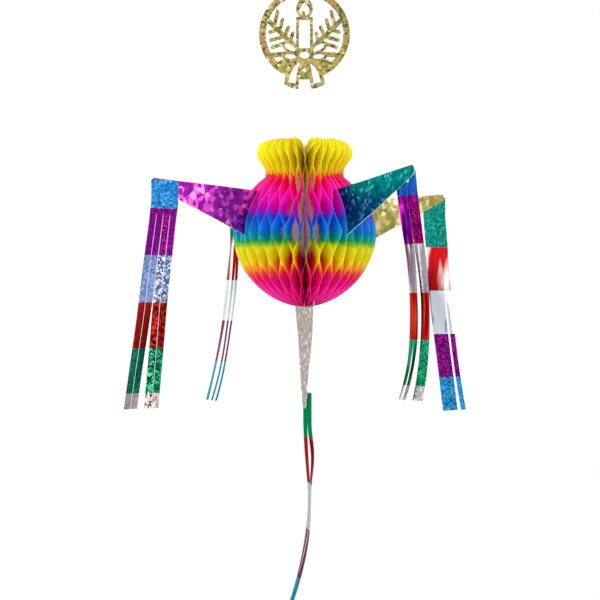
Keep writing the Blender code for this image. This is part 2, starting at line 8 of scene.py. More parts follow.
import logging
import math
from collections.abc import Sequence
from dataclasses import dataclass
from enum import Enum
from typing import Any

import bpy
import numpy as np
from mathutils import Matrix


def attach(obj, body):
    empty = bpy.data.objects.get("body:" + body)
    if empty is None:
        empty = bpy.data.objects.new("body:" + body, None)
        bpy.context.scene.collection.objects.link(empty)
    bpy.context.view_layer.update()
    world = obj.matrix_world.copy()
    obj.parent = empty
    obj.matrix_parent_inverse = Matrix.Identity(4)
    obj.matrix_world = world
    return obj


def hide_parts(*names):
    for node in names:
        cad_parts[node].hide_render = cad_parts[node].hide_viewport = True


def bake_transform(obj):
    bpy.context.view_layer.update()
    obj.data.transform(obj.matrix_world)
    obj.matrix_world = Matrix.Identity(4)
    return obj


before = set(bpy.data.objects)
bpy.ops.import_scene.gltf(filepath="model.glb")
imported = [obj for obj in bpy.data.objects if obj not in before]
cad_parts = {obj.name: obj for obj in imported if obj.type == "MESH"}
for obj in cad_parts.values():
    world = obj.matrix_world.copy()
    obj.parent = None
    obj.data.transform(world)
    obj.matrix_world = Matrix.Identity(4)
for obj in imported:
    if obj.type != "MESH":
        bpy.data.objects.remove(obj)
LOG = logging.getLogger("pinata")

MM = 0.001
UP = np.array((0.0, 0.0, 1.0))
# A colour Mix node's sockets go by number, because their names repeat.
FACTOR, FIRST, SECOND, MIXED = 0, 6, 7, 2
# The same for its vector form.
FIRST_VECTOR, SECOND_VECTOR, MIXED_VECTOR = 4, 5, 1

Material = bpy.types.Material
Piece = bpy.types.Object
Socket = bpy.types.NodeSocket


class Slot(Enum):
    """The record's material slots; each card point names the one for its foil."""

    TISSUE = "tissue"
    FILM = "film"
    NYLON = "nylon"
    CARD = "white_card"
    TEAL_FOIL = "foil_teal"
    GOLD_FOIL = "foil_gold"
    RED_FOIL = "foil_red"
    VIOLET_FOIL = "foil_violet"
    SILVER_FOIL = "foil_silver"


class Side(Enum):
    """The two half-round honeycomb pads."""

    RIGHT = "right"
    LEFT = "left"


class Meeting(Enum):
    """How the colours of a ramp meet."""

    BLEND = "LINEAR"
    EDGE = "CONSTANT"


def linear(code: str) -> tuple[float, float, float, float]:
    """Turn an sRGB hex code into a linear colour.

    Args:
        code: the colour as "#rrggbb".
    Returns:
        Red, green, blue and an alpha of 1.
    """
    parts = (int(code[i : i + 2], 16) / 255 for i in (1, 3, 5))
    red, green, blue = (p / 12.92 if p <= 0.04045 else ((p + 0.055) / 1.055) ** 2.4 for p in parts)
    return red, green, blue, 1.0


def outward(azimuth: Any) -> np.ndarray:
    """Unit vector away from the axis at an azimuth, as (..., 3)."""
    azimuth = np.asarray(azimuth, float)
    return np.stack((np.sin(azimuth), -np.cos(azimuth), np.zeros_like(azimuth)), -1)


def sideways(azimuth: Any) -> np.ndarray:
    """Unit vector round the axis, towards growing azimuth, as (..., 3)."""
    azimuth = np.asarray(azimuth, float)
    return np.stack((np.cos(azimuth), np.sin(azimuth), np.zeros_like(azimuth)), -1)


def smooth(share: Any) -> Any:
    """Smoothstep of a share, held to 0 and 1 outside them."""
    share = np.clip(share, 0, 1)
    return share * share * (3 - 2 * share)


def each(values: Any) -> np.ndarray:
    """One value per strand, as an array that spreads over the strand's rows and columns."""
    return np.asarray(values, float)[:, None, None]


def grid_faces(rows: int, columns: int, start: int = 0) -> np.ndarray:
    """Quads of a grid whose vertices run along its columns first.

    Args:
        rows: number of vertex rows.
        columns: number of vertices in a row.
        start: index of the grid's first vertex.
    Returns:
        (faces, 4) vertex indices.
    """
    index = start + np.arange(rows * columns).reshape(rows, columns)
    corners = (index[:-1, :-1], index[1:, :-1], index[1:, 1:], index[:-1, 1:])
    return np.stack([c.ravel() for c in corners], -1)


def mesh_piece(
    name: str,
    points: np.ndarray,
    faces: np.ndarray,
    finishes: list[Material],
    attributes: dict[str, np.ndarray] | None = None,
    face_finish: np.ndarray | None = None,
    flat: bool = False,
) -> Piece:
    """Make a mesh object at the origin from arrays.

    Args:
        name: object name.
        points: (..., 3) vertex places in the frame.
        faces: (m, 4) vertex indices.
        finishes: its materials.
        attributes: named per-vertex numbers for the materials.
        face_finish: index of each face's material.
        flat: whether faces are shaded flat.
    Returns:
        The linked object.
    """
    mesh = bpy.data.meshes.new(name)
    mesh.from_pydata(points.reshape(-1, 3), [], faces.tolist())
    for key, values in (attributes or {}).items():
        layer = mesh.attributes.new(key, "FLOAT", "POINT")
        layer.data.foreach_set("value", np.asarray(values, np.float32).ravel())
    for finish in finishes:
        mesh.materials.append(finish)
    if face_finish is not None:
        mesh.polygons.foreach_set("material_index", face_finish.astype(np.int32))
    mesh.polygons.foreach_set("use_smooth", np.full(len(mesh.polygons), not flat))
    mesh.update()
    made = bpy.data.objects.new(name, mesh)
    bpy.context.scene.collection.objects.link(made)
    return made


# Finishes


class Graph:
    """A node tree that is put together one node at a time."""

    def __init__(self, tree: bpy.types.NodeTree) -> None:
        """Take over a node tree and empty it."""
        self.tree = tree
        tree.nodes.clear()

    def add(
        self,
        kind: str,
        links: dict[int | str, Any] | None = None,
        take: int | str = 0,
        stops: Sequence[tuple[float, str]] = (),
        meeting: Meeting = Meeting.BLEND,
        **settings: Any,
    ) -> Socket | None:
        """Add a node with its settings, and give its inputs a value or link them.

        Args:
            kind: node type without its ShaderNode prefix.
            links: input name or index, to a value or an output socket.
            take: name or index of the output that is wanted.
            stops: places and sRGB hex codes of a colour ramp.
            meeting: how those colours meet.
            settings: node properties.
        Returns:
            The wanted output, or nothing for a node without one.
        """
        node = self.tree.nodes.new(f"ShaderNode{kind}")
        for key, value in settings.items():
            setattr(node, key, value)
        for key, value in (links or {}).items():
            if isinstance(value, Socket):
                self.tree.links.new(value, node.inputs[key])
            else:
                node.inputs[key].default_value = value
        if stops:
            ramp = node.color_ramp
            ramp.interpolation = meeting.value
            while len(ramp.elements) < len(stops):
                ramp.elements.new(1.0)
            for element, (place, code) in zip(ramp.elements, stops):
                element.position = place
                element.color = linear(code)
        return node.outputs[take] if node.outputs else None

    def shards(self, cell: float, tilt: float) -> tuple[Socket, Socket]:
        """Embossed flat shards, each with its own random number and a normal that leans its own way.

        Args:
            cell: mean width of a shard.
            tilt: how far a shard's normal leans.
        Returns:
            The random value and the normal.
        """
        place = self.add("TexCoord", take="Object")
        colour = self.add("TexVoronoi", {"Vector": place, "Scale": 1 / cell}, "Color")
        value = self.add("SeparateColor", {"Color": colour}, "Red")
        lean = self.add("VectorMath", {0: colour, 1: (0.5, 0.5, 0.5)}, operation="SUBTRACT")
        scaled = self.add("VectorMath", {0: lean, "Scale": tilt}, operation="SCALE")
        normal = self.add("NewGeometry", take="Normal")
        total = self.add("VectorMath", {0: scaled, 1: normal}, operation="ADD")
        return value, self.add("VectorMath", {0: total}, operation="NORMALIZE")


class Painted(Graph):
    """The node tree of a new material."""

    def __init__(self, name: str) -> None:
        """Make a material with an empty node tree.

        Args:
            name: the material's name.
        """
        self.material = bpy.data.materials.new(name)
        self.material.use_nodes = True
        super().__init__(self.material.node_tree)

    def finish(self, shader: Socket) -> Material:
        """Link the final shader to the output."""
        self.add("OutputMaterial", {"Surface": shader})
        return self.material


@dataclass(frozen=True)
class DyedTissue:
    """Thin tissue, stacked, glued, die-cut and then dyed in bands from its cut edge.

    A band is a rise in millimetres and the dye's colour there, as the stack shows it.
    """

    name: str = "tissue_dip_dyed"
    bands: tuple[tuple[float, str], ...] = (
        (-80, "#e80484"), (-52, "#f0089c"), (-47, "#e80c58"), (-41.5, "#ea3c14"), (-36, "#f4a00c"),
        (-31, "#f0e406"), (-16, "#ece806"), (-13, "#7ccc10"), (-9.5, "#08a83c"), (-3.5, "#04a8c0"),
        (3, "#0690f4"), (9, "#0a70f4"), (17, "#0a4ce4"), (21, "#6a2cdc"), (25, "#d010e8"),
        (31, "#f606d0"), (46, "#fc06b0"), (53.5, "#f80494"), (59, "#f00438"), (65, "#f01800"),
        (70.5, "#f46a04"), (75.5, "#faf002"), (90, "#f8ee02"), (100, "#e6da04"),
    )
    paper: str = "#fffafd"
    thinness: float = 0.72  # gamma that makes one sheet paler than the stack

    @staticmethod
    def wander(mat: Painted, number: str, reach: float, cloud: float) -> Socket:
        """A vertex number that wanders by soft noise, as dye does along the fibres.

        Args:
            mat: the material's node tree.
            number: the mesh attribute's name.
            reach: how far it wanders either way.
            cloud: width of the noise's waves.
        Returns:
            The wandering number.
        """
        place = mat.add("TexCoord", take="Object")
        waves = {"Vector": place, "Scale": 1 / cloud, "Detail": 3.0, "Roughness": 0.6}
        noise = mat.add("TexNoise", waves, "Fac")
        shift = mat.add(
            "MapRange", {"Value": noise, "From Min": 0.3, "From Max": 0.7, "To Min": -reach, "To Max": reach})
        exact = mat.add("Attribute", take="Fac", attribute_name=number)
        return mat.add("Math", {0: exact, 1: shift}, operation="ADD")

    def build(self) -> Material:
        """Make bands that bleed into each other and fade towards the undyed middle.

        Returns:
            The material.
        """
        # Tissue dyed after die-cutting: the dye fades 20 to 32 mm in. Along the cut edge the colour is
        # lightened towards white, a painted highlight for the light that the sheets' edges catch.
        # One sheet is paler than the stack of them, whose colour deepens from layer to layer.
        mat = Painted(self.name)
        low, high = self.bands[0][0] * MM, self.bands[-1][0] * MM
        rise = self.wander(mat, "band", reach=2 * MM, cloud=16.667 * MM)
        share = mat.add("MapRange", {"Value": rise, "From Min": low, "From Max": high})
        stops = [((mm * MM - low) / (high - low), code) for mm, code in self.bands]
        stack = mat.add("ValToRGB", {"Fac": share}, stops=stops)
        dye = mat.add("Gamma", {"Color": stack, "Gamma": self.thinness})
        soak = self.wander(mat, "soak", reach=4 * MM, cloud=8.3333 * MM)
        undyed = mat.add(
            "MapRange", {"Value": soak, "From Min": 20 * MM, "From Max": 32 * MM},
            interpolation_type="SMOOTHSTEP")
        inside = mat.add(
            "Mix", {FACTOR: undyed, FIRST: dye, SECOND: linear(self.paper)}, MIXED, data_type="RGBA")
        depth = mat.add("Attribute", take="Fac", attribute_name="depth")
        # Painted highlight: within 1.4 mm of the cut edge the colour is mixed up to 12% towards white.
        edge = mat.add("MapRange", {
            "Value": depth, "From Min": 0.2 * MM, "From Max": 1.4 * MM, "To Min": 0.12, "To Max": 0.0})
        colour = mat.add(
            "Mix", {FACTOR: edge, FIRST: inside, SECOND: linear("#ffffff")}, MIXED, data_type="RGBA")
        front = mat.add(
            "BsdfPrincipled", {"Base Color": colour, "Roughness": 0.9, "Specular IOR Level": 0.1})
        through = mat.add("BsdfTranslucent", {"Color": colour})
        return mat.finish(mat.add("MixShader", {0: 0.5, 1: front, 2: through}))


@dataclass(frozen=True)
class HolographicFoil:
    """Card laminated with metallised film, embossed with shards of a few tones.

    A tone is the share of shards at which it starts, and its colour. The tones run from dark to light as
    painted reflection: the light ones are painted glints and the dark ones shards that mirror something dark,
    while each shard's leaning normal also reflects the room.
    """

    name: str
    tones: tuple[tuple[float, str], ...]
    shard: float
    tilt: float
    roughness: float = 0.28

    def build(self) -> Material:
        """Make shards that each take one tone, by share, and lean their own way.

        Returns:
            The material.
        """
        # Hot-stamped holographic film on card: metal with facets a few millimetres wide.
        mat = Painted(self.name)
        value, normal = mat.shards(self.shard, self.tilt)
        # Painted reflection: each shard's tone, dark to light, stands in for the glint or the dark that it
        # mirrors.
        tone = mat.add("ValToRGB", {"Fac": value}, stops=self.tones, meeting=Meeting.EDGE)
        return mat.finish(mat.add("BsdfPrincipled", {
            "Base Color": tone, "Specular Tint": tone, "Metallic": 1.0, "Roughness": self.roughness,
            "Normal": normal}))


@dataclass(frozen=True)
class Band:
    """One lacquered band of a film."""

    length: float
    ground: str
    glint: str  # colour of its glitter
    share: float = 1.0  # how much of the strand's glitter it has
    painted_bright_reflection: str = "#fff4f4"  # painted reflection: bright streaks where it mirrors
    shadow: str = "#2c3048"  # painted reflection: dark streaks


@dataclass(frozen=True)
class FilmCoat:
    """What a film's surface shows. Glitter is from 0 to 1, with one value per strand, innermost first."""

    bands: tuple[Band, ...]
    glitter: tuple[float, ...] = (0.1, 0.1, 0.1, 0.1)
    top_glitter: float = 0.1  # on the uncut top
    mirror: float = 0.0  # strength of the painted reflection streaks where it hardly glitters
    painted_streak: float = 15.385 * MM  # width of a painted reflection streak

    @property
    def starts(self) -> np.ndarray:
        """Where each band starts below the film's top."""
        return np.cumsum([0.0] + [band.length for band in self.bands[:-1]])


@dataclass(frozen=True)
class BandedFilm:
    """Thin metallised film, lacquered in bands across its length and slit into strands."""

    name: str
    length: float
    coat: FilmCoat
    painted_streak_length: float = 71.43 * MM

    def build(self) -> Material:
        """Make bands by distance from the film's top, with glitter on some strands and painted reflection
        streaks on the others.

        Returns:
            The material.
        """
        # Vacuum-metallised polyester, lacquered in bands: a coloured mirror, broken by holographic flecks.
        # Bright and dark streaks of reflection are painted into the colour of the strands that hardly
        # glitter.
        mat = Painted(self.name)
        drop = mat.add("Attribute", take="Fac", attribute_name="drop")
        share = mat.add("MapRange", {"Value": drop, "From Max": self.length})
        starts = self.coat.starts / self.length
        ground, glint, painted_bright_reflection, shadow = (
            mat.add("ValToRGB", {"Fac": share}, stops=list(zip(starts, codes)), meeting=Meeting.EDGE)
            for codes in zip(*((b.ground, b.glint, b.painted_bright_reflection, b.shadow) for b in self.coat.bands))
        )
        value, tilted = mat.shards(cell=1.9 * MM, tilt=0.45)
        glitter = mat.add("Attribute", take="Fac", attribute_name="glitter")
        bright = mat.add("MapRange", {"Value": value, "From Min": 0.35})
        flecks = mat.add("Math", {0: bright, 1: glitter}, operation="MULTIPLY")
        flat = mat.add("NewGeometry", take="Normal")
        normal = mat.add(
            "Mix", {FACTOR: glitter, FIRST_VECTOR: flat, SECOND_VECTOR: tilted}, MIXED_VECTOR,
            data_type="VECTOR")
        tone = mat.add("Mix", {FACTOR: flecks, FIRST: ground, SECOND: glint}, MIXED, data_type="RGBA")
        place = mat.add("TexCoord", take="Object")
        pulled = (1 / self.coat.painted_streak, 1 / self.coat.painted_streak, 1 / self.painted_streak_length)
        strung = mat.add("VectorMath", {0: place, 1: pulled}, operation="MULTIPLY")
        noise = mat.add("TexNoise", {"Vector": strung, "Scale": 1.0, "Detail": 2.0}, "Fac")
        # Painted reflection: bright and dark streaks of the surroundings, mixed into the colour where a
        # strand hardly glitters.
        plain = mat.add("MapRange", {
            "Value": glitter, "From Max": 0.5, "To Min": self.coat.mirror, "To Max": 0.0})
        for start, full, colour in ((0.52, 0.7, painted_bright_reflection), (0.42, 0.36, shadow)):
            painted_streak = mat.add("MapRange", {"Value": noise, "From Min": start, "From Max": full})
            amount = mat.add("Math", {0: painted_streak, 1: plain}, operation="MULTIPLY")
            tone = mat.add("Mix", {FACTOR: amount, FIRST: tone, SECOND: colour}, MIXED, data_type="RGBA")
        tint = mat.add("Mix", {FACTOR: 0.7, FIRST: linear("#ffffff"), SECOND: tone}, MIXED, data_type="RGBA")
        return mat.finish(mat.add("BsdfPrincipled", {
            "Base Color": tone, "Specular Tint": tint, "Metallic": 1.0, "Roughness": 0.2,
            "Normal": normal}))


@dataclass(frozen=True)
class PlainStock:
    """White card, clear tape or clear nylon: one even colour."""

    name: str
    code: str
    roughness: float
    clear: float = 0.0

    def build(self) -> Material:
        """Make an even surface, seen through where it's clear.

        Returns:
            The material.
        """
        # Cut card, coated tape or drawn nylon, with no pattern of its own.
        mat = Painted(self.name)
        solid = mat.add("BsdfPrincipled", {"Base Color": linear(self.code), "Roughness": self.roughness})
        if not self.clear:
            return mat.finish(solid)
        see = mat.add("BsdfTransparent")
        return mat.finish(mat.add("MixShader", {0: self.clear, 1: solid, 2: see}))


FOILS = {
    "teal": HolographicFoil("foil_teal_stamped", (
        (0.0, "#057872"), (0.4, "#0a847a"), (0.72, "#1c9c98"), (0.86, "#48c4c4")), 3.5 * MM, 0.14),
    "gold": HolographicFoil("foil_gold_stamped", (
        (0.0, "#6c6430"), (0.25, "#867e44"), (0.5, "#98905a"), (0.7, "#b4ac76"),
        (0.86, "#dcd8b4")), 4.8 * MM, 0.18),
    "back": HolographicFoil("foil_red_stamped", (
        (0.0, "#86090f"), (0.5, "#9c1418"), (0.8, "#d04448"), (0.92, "#f08080")), 4.6 * MM, 0.14),
    "violet": HolographicFoil("foil_violet_stamped", (
        (0.0, "#6a1070"), (0.35, "#7c1a84"), (0.58, "#b0389a"), (0.74, "#d04ca8"),
        (0.9, "#ec80c8")), 4.8 * MM, 0.12),
    "tail": HolographicFoil("foil_silver_stamped", (
        (0.0, "#a49c98"), (0.5, "#aea6a2"), (0.85, "#bcb6b2"), (0.95, "#cac6c4")), 3.0 * MM, 0.045),
    "medallion": HolographicFoil("foil_antique_gold_stamped", (
        (0.0, "#58502e"), (0.16, "#62703e"), (0.34, "#8e8648"), (0.54, "#9c8048"), (0.72, "#a07456"),
        (0.85, "#a89e62"), (0.95, "#c2b888")), 2.7 * MM, 0.06, 0.4),
}


# Ball's profile


@dataclass(frozen=True)
class BallForm:
    """The honeycomb ball's die-cut profile and its rows of glue, with the sizes of the CAD source."""

    drop: float = 0.259  # its centre below the ring's top
    radius: float = 0.075
    half_height: float = 0.0752
    roundness: float = 1.85
    neck_radius: float = 0.041
    neck_rise: float = 0.066
    collar_radius: float = 0.0504
    bulge_rise: float = 0.0855
    top_rise: float = 0.0995
    rim_width: float = 0.0145
    bound_radius: float = 0.7 * MM  # where the sheets start, beside the spine
    mouth_rise: float = 0.07
    mouth_radius: float = 0.0255
    tab_rise: float = -0.0695  # below this the sheets clear the lowest card's tab
    tab_ease: float = 0.0015
    tab_radius: float = 0.0024
    sheets: int = 64
    seam_turn: float = math.radians(1.3)
    row_pitch: float = 0.025
    first_row: int = 3  # rows from the ball's centre up to the highest
    dye_ring: float = 0.012
    dye_deeper: float = 0.016  # how much deeper the dye soaks from below
    dye_deeper_from: float = -0.004
    dye_deeper_over: float = 0.02

    @property
    def half(self) -> int:
        """Number of sheets in one pad."""
        return self.sheets // 2

    @property
    def first_rise(self) -> float:
        """Rise of the highest glued row."""
        return self.first_row * self.row_pitch

    def row_rise(self, row: np.ndarray) -> np.ndarray:
        """Rise of a glued row, counted down from the highest."""
        return (self.first_row - row) * self.row_pitch

    def slot_azimuth(self, slot: Any) -> Any:
        """Azimuth of a slot between two sheets, counted round from the front seam."""
        return self.seam_turn + slot * (2 * math.pi / self.sheets)

    def outer_radius(self, rise: np.ndarray) -> np.ndarray:
        """The die-cut half-profile: a rounded ball, then the neck and the flared collar.

        The ball is R (1 - |h / H|^p)^(1/p); the collar is a cosine S-curve and an elliptical rim.

        Args:
            rise: rises on the profile.
        Returns:
            The profile's distances from the axis.
        """
        swell = np.clip(1 - np.abs(rise / self.half_height) ** self.roundness, 0, 1)
        ball = self.radius * swell ** (1 / self.roundness)
        climb = np.clip((rise - self.neck_rise) / (self.bulge_rise - self.neck_rise), 0, 1)
        flare = self.neck_radius + (self.collar_radius - self.neck_radius) * (1 - np.cos(np.pi * climb)) / 2
        over = np.clip((rise - self.bulge_rise) / (self.top_rise - self.bulge_rise), 0, 1)
        flare = flare - self.rim_width * (1 - np.sqrt(1 - over * over))
        return np.where(rise < self.neck_rise / 2, ball, np.maximum(ball, flare))

    def inner_radius(self, rise: np.ndarray) -> np.ndarray:
        """Where the sheets start: near the axis, but further out in the mouth and by the lowest tab.

        In the mouth it is a quarter ellipse, and at the tab a smoothstep.

        Args:
            rise: rises on the sheets' inner edge.
        Returns:
            That edge's distances from the axis.
        """
        climb = np.clip((rise - self.mouth_rise) / (self.top_rise - self.mouth_rise), 0, 1)
        mouth = self.bound_radius + self.mouth_radius * (1 - np.sqrt(1 - climb * climb))
        return mouth + self.tab_radius * smooth((self.tab_rise - rise) / self.tab_ease)

    def dye_place(self, rise: np.ndarray, radius: np.ndarray) -> tuple[np.ndarray, np.ndarray]:
        """Where a line from a small ring round the ball's centre through a place leaves the ball.

        Dye soaks in along such lines, so that a band narrows towards the middle. It soaks deepest from
        below.

        Args:
            rise: the places' rises.
            radius: their distances from the axis.
        Returns:
            The rise where the line leaves, which names the band, and the distance soaked from there.
        """
        tiny = 0.1 * MM
        rim = np.linspace(-self.half_height, self.top_rise, 400)
        around = np.maximum(self.outer_radius(rim) - self.dye_ring, tiny)
        slopes = np.maximum.accumulate(np.arctan2(rim, around))
        inward = np.maximum(radius - self.dye_ring, tiny)
        slope = np.arctan2(rise, inward)
        reach = np.interp(slope, slopes, np.hypot(rim, around))
        band = np.interp(slope, slopes, rim)
        band = np.where(rise > self.neck_rise, np.maximum(band, rise), band)
        soak = (self.radius - self.dye_ring) * (1 - np.hypot(rise, inward) / reach)
        return band, soak - self.dye_deeper * smooth((self.dye_deeper_from - rise) / self.dye_deeper_over)


BALL = BallForm()


# Points and fringes

NONE = (0.0, 0.0, 0.0, 0.0)


@dataclass(frozen=True)
class Fringe:
    """A film that is glued to a card's tip, hangs from it and is slit into strands.

    A tuple of four holds one value per strand, innermost first. Angles are in degrees, about a vertical.
    """

    coat: FilmCoat
    length: float  # whole film, with its header
    shift: float  # its place on the card, towards the tip
    lean: float  # its foot along the card's plane
    drift: float  # its foot out of that plane, along a curve
    groups: tuple[int, ...]  # strands with the same number cling together
    droop: float = 2.0  # power of that curve
    tilt: float = 0.0  # its foot out of the plane, along a line
    bow: float = 0.0  # its middle out of the plane
    spreads: tuple[float, ...] = NONE  # each strand's foot along the plane
    curls: tuple[float, ...] = NONE  # each strand's foot out of the plane
    loops: tuple[float, ...] = NONE  # each strand's bulge below the slits' top
    rolls: tuple[float, ...] = NONE  # each strand's turn about its group's middle
    roll_by: float = 0.33  # share of the slits at which the roll is full
    twists: tuple[float, ...] = NONE  # each strand's turn about its own middle, near its foot
    swivels: tuple[float, float] = (0.0, 0.0)  # the film's turn, at its header and below
    pivot: float = 0.0  # where it turns, out from its middle
    shear: float = 0.0  # how far in its upper edge is set
    slit: float = 0.0  # how far an edge stands back from its slit
    width: float = 0.03
    header: float = 0.0215
    uncut: float = 0.0309
    stand_off: float = 0.0008  # distance from the card's middle plane
    parted_slit: float = 0.08 * MM  # the least such gap between groups
    slit_ease: float = 30.0
    swivel_by: float = 0.52
    loop_by: float = 0.36
    twist_from: float = 0.68
    twist_over: float = 0.15
    wobble: float = 0.06  # small waves: of the roll, in radians
    camber: float = 0.3 * MM  # across a group
    sway: float = 0.5 * MM  # of a group as a whole
    bend_above: float = 0.002  # where the film bends, above and below its header's foot
    bend_below: float = 0.008
    rows: int = 110
    columns: int = 5

    def half_strand(self, t: np.ndarray) -> np.ndarray:
        """Each column's distance from its strand's middle, less where a slit stands open.

        Args:
            t: share of the length below the slits' top.
        Returns:
            Distances for each strand, row and column.
        """
        x = np.linspace(-1, 1, self.columns)[None, None, :]
        parted = np.concatenate(([False], np.diff(self.groups) > 0, [False]))
        gap = np.where(parted, max(self.parted_slit, self.slit), self.slit)
        before, after = each(gap[:-1]), each(gap[1:])
        back = (before * (1 - x) - after * (1 + x)) / 2 * smooth(t * self.slit_ease)
        return x * self.width / len(self.groups) / 2 + back

    def surface(self, seed: int) -> tuple[np.ndarray, np.ndarray, np.ndarray]:
        """Work out the strands on a grid of strands, rows down and columns across.

        With s the share of the length below the header and t that below the slits' top, a strand's middle
        lies lean s + spread t^2 along the card's plane and
        tilt s + drift s^droop + bow sin^2(pi s) + curl t^2 + loop sin^2(pi t / loop_by) out of it.
        The film turns about its glued place by its swivel, each group of strands about its own middle by
        its roll, and each strand about its own middle by its twist.

        Args:
            seed: where the random phases of the small waves start.
        Returns:
            Places along the card's plane, out of it, and down from the film's top.
        """
        dice = np.random.default_rng(seed)
        drop = np.linspace(0, self.length, self.rows)[None, :, None]
        s = np.clip((drop - self.header) / (self.length - self.header), 0, 1)
        t = np.clip((drop - self.uncut) / (self.length - self.uncut), 0, 1)
        group = np.array(self.groups)
        width = self.width / len(group)
        place = (np.arange(len(group)) + 0.5) * width - self.width / 2
        middle = np.array([place[group == number].mean() for number in group])
        arm = each(place - middle)
        half = self.half_strand(t)
        first, last = np.radians(self.swivels)
        swivel = first + (last - first) * smooth(t / self.swivel_by)
        phase = each(dice.uniform(0, 2 * np.pi, len(group))[group])
        other = each(dice.uniform(0, 2 * np.pi, len(group))[group])
        roll = swivel + np.radians(each(self.rolls)) * smooth(t / self.roll_by)
        roll = roll + self.wobble * smooth(t * 2) * np.sin(1.7 * np.pi * t + phase)
        turn = roll + np.radians(each(self.twists)) * smooth((t - self.twist_from) / self.twist_over)
        group_width = each([np.sum(group == number) * width for number in group])
        arch = 1 - (2 * (arm + half) / group_width) ** 2
        camber = self.camber * smooth(t * 2) * np.sin(2.2 * np.pi * t + phase) * arch
        sway = self.sway * smooth(t * 3) * np.sin(3.1 * np.pi * t + other)
        loop = each(self.loops) * np.sin(np.pi * np.clip(t / self.loop_by, 0, 1)) ** 2
        turned = each(middle - self.pivot)
        out = self.width / 2 + self.pivot + turned * np.cos(swivel) + arm * np.cos(roll) + half * np.cos(turn)
        out = out + self.lean * s + each(self.spreads) * t**2
        out = out - self.shear * np.clip(1 - drop / self.header, 0, 1)
        away = self.stand_off + turned * np.sin(swivel) + arm * np.sin(roll) + half * np.sin(turn)
        away = away + self.tilt * s + self.drift * s**self.droop
        away = away + self.bow * np.sin(np.pi * s) ** 2 + each(self.curls) * t**2 + loop + camber + sway
        return out, away, np.broadcast_to(drop, away.shape)

    def build(self, card: "CardPoint", film: Material) -> Piece:
        """The whole film in one piece: header and uncut band, then its strands.

        Args:
            card: the card that it hangs from.
            film: its finish.
        Returns:
            The film, which bends at its header's foot.
        """
        out, away, drop = self.surface(card.slot)
        top = card.film_top()
        points = top + out[..., None] * outward(card.azimuth) + away[..., None] * sideways(card.azimuth)
        points = points - drop[..., None] * UP
        grids = [grid_faces(self.rows, self.columns, k * out[0].size) for k in range(len(self.groups))]
        shares = np.array([band.share for band in self.coat.bands])
        which = np.searchsorted(self.coat.starts[1:], drop, "right")
        glitter = np.where(
            drop < self.uncut, self.coat.top_glitter, each(self.coat.glitter) * shares[which])
        made = mesh_piece(
            f"film_{card.name}", points, np.concatenate(grids), [film], {"drop": drop, "glitter": glitter})
        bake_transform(made)
        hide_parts(f"fringe_header_{card.name}", f"fringe_strands_{card.name}")
        return made


